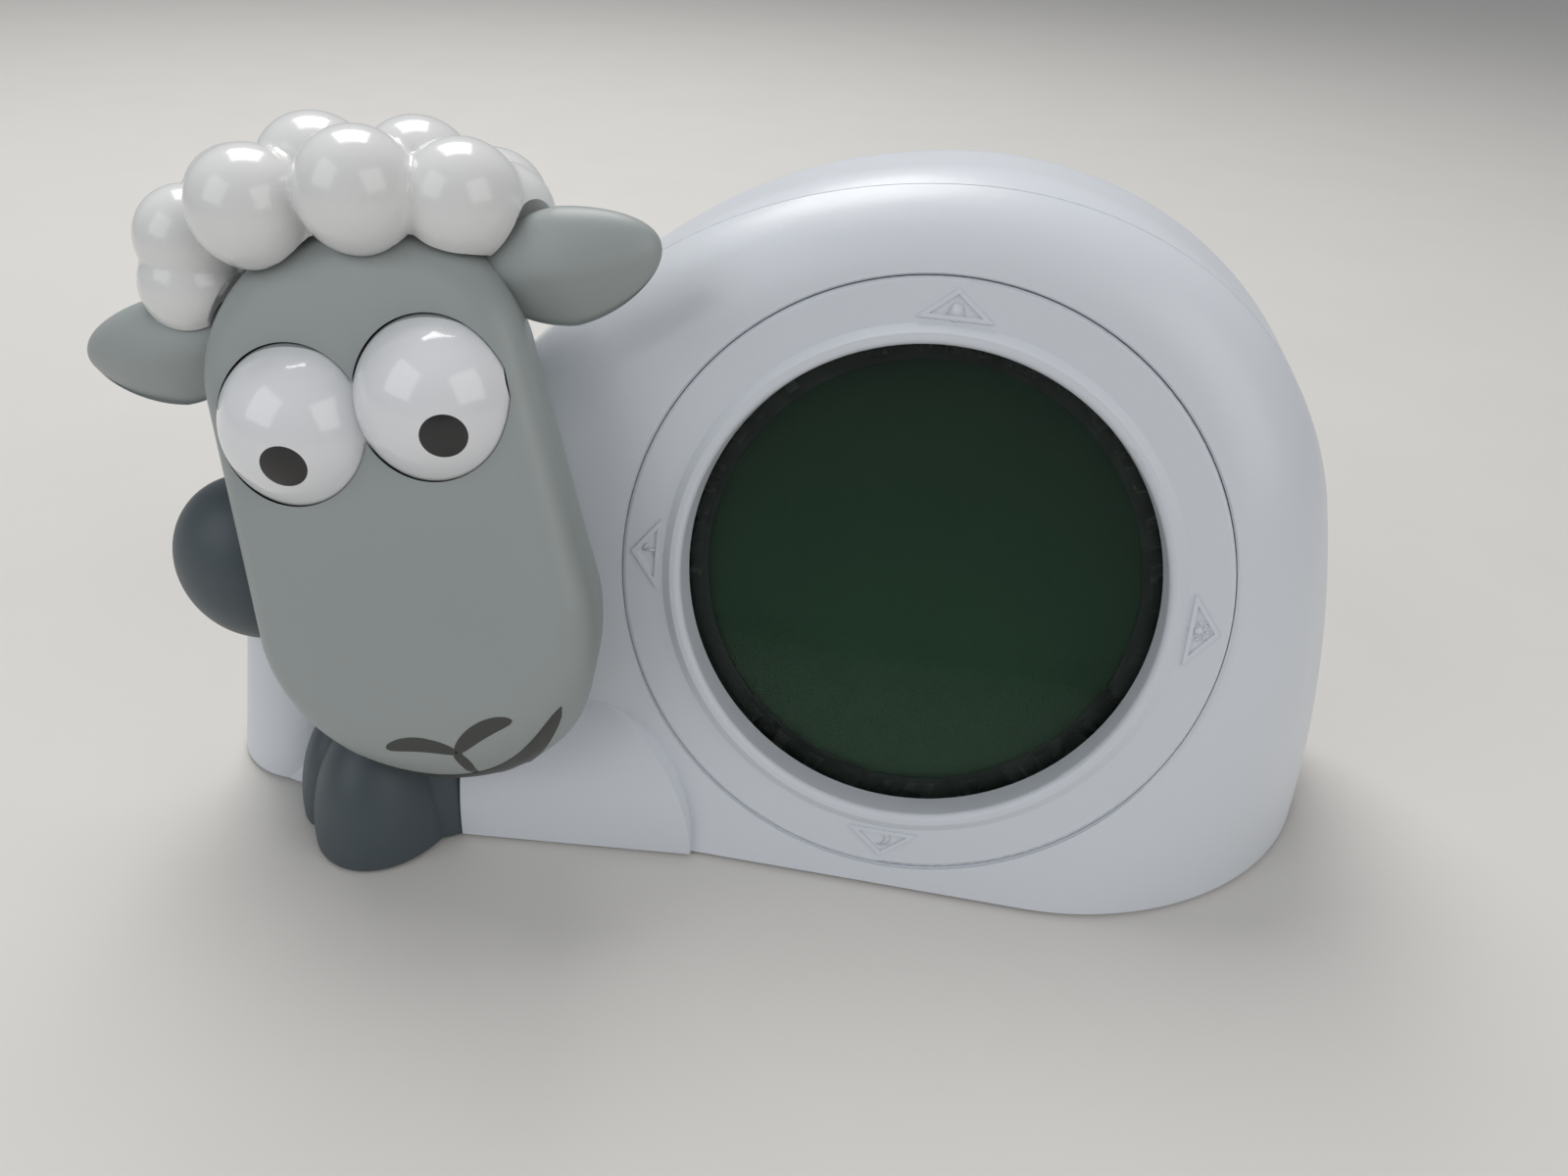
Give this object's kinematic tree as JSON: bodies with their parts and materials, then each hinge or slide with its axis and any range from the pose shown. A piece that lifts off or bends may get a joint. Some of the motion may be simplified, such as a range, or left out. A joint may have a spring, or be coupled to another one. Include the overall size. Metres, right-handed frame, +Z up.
{
  "type": "children's alarm clock",
  "caption": "Children's sleep-trainer alarm clock in the shape of a lying sheep: round display in a four-way tilting control ring, eyes that roll shut, wool tuft that snoozes, night light.",
  "frame": {"origin": "middle of the clock's outline on the table", "axes": "+X to the viewer's right, +Y to the back of the clock, +Z up"},
  "size_m": [0.2338, 0.0925, 0.1269],
  "materials": {
    "white_plastic": "satin moulded ABS",
    "ring_plastic": "satin moulded ABS",
    "face_plastic": "soft satin",
    "hoof_plastic": "matte",
    "dark_print": "pad print",
    "steel": "plain",
    "clear_window": "clear gloss acrylic",
    "black_mask": "matte black",
    "display_glass": "liquid crystal panel",
    "diffuser": "milky",
    "circuit_board": "solder mask",
    "grey_rubber": "soft",
    "cell_sleeve": "shrink sleeve"
  },
  "bodies": {
    "clock": {"body_front_shell": "white_plastic", "body_rear_shell": "white_plastic", "head_front_shell": "face_plastic", "head_rear_shell": "face_plastic", "left_ear": "face_plastic", "right_ear": "face_plastic", "front_hoof": "hoof_plastic", "cheek_hoof": "hoof_plastic", "nose_and_mouth": "dark_print", "housing_screws": "steel", "head_screws": "steel", "display_screws": "steel", "board_screws": "steel", "eye_motor": "steel", "battery_contacts": "steel", "power_inlet": "steel", "window_lens": "clear_window", "display_mask": "black_mask", "ring_switches": "black_mask", "snooze_switch": "black_mask", "board_chips": "black_mask", "slide_switch": "black_mask", "speaker": "black_mask", "lcd_panel": "display_glass", "light_guide": "diffuser", "night_light_leds": "diffuser", "display_frame": "diffuser", "battery_box": "diffuser", "eye_bearing": "diffuser", "main_board": "circuit_board", "switch_board": "circuit_board", "rubber_feet": "grey_rubber", "batteries": "cell_sleeve"},
    "tilt_ring": {"tilt_ring": "steel"},
    "control_ring": {"control_ring": "ring_plastic"},
    "eyes": {"eye_pair": "white_plastic", "pupils": "dark_print", "eyelids": "face_plastic", "eye_axle": "steel"},
    "tuft": {"wool_tuft": "white_plastic"},
    "door": {"battery_door": "white_plastic", "battery_door_screw": "steel"},
    "knob": {"slide_switch_knob": "black_mask"}
  },
  "joints": [
    {"name": "ring_tilt_up_down", "type": "hinge", "parent": "clock", "child": "tilt_ring", "pos_m": [0.03197, -0.00172, 0.05378], "axis": [1, 0, 0], "range_deg": [-1.2, 1.2], "stiffness_Nm_per_rad": 4},
    {"name": "ring_tilt_side", "type": "hinge", "parent": "tilt_ring", "child": "control_ring", "pos_m": [0.03197, -0.00172, 0.05378], "axis": [0, 0.294, 0.9558], "range_deg": [-1.2, 1.2], "stiffness_Nm_per_rad": 4},
    {"name": "eyes_roll", "type": "hinge", "parent": "clock", "child": "eyes", "pos_m": [-0.06013, -0.02074, 0.08308], "axis": [0.9553, 0.087, 0.2826], "range_deg": [0, 131]},
    {"name": "tuft_press", "type": "slide", "parent": "clock", "child": "tuft", "axis": [0.2957, -0.2809, -0.913], "range_m": [0, 0.0012], "stiffness_N_per_m": 600, "springref_m": -0.0012},
    {"name": "battery_door_swing", "type": "hinge", "parent": "clock", "child": "door", "pos_m": [0.05197, 0.04505, 0.0088], "axis": [-1, 0, 0], "range_deg": [0, 95]},
    {"name": "slide_switch_throw", "type": "slide", "parent": "clock", "child": "knob", "axis": [-1, 0, 0], "range_m": [0, 0.004]}
  ]
}
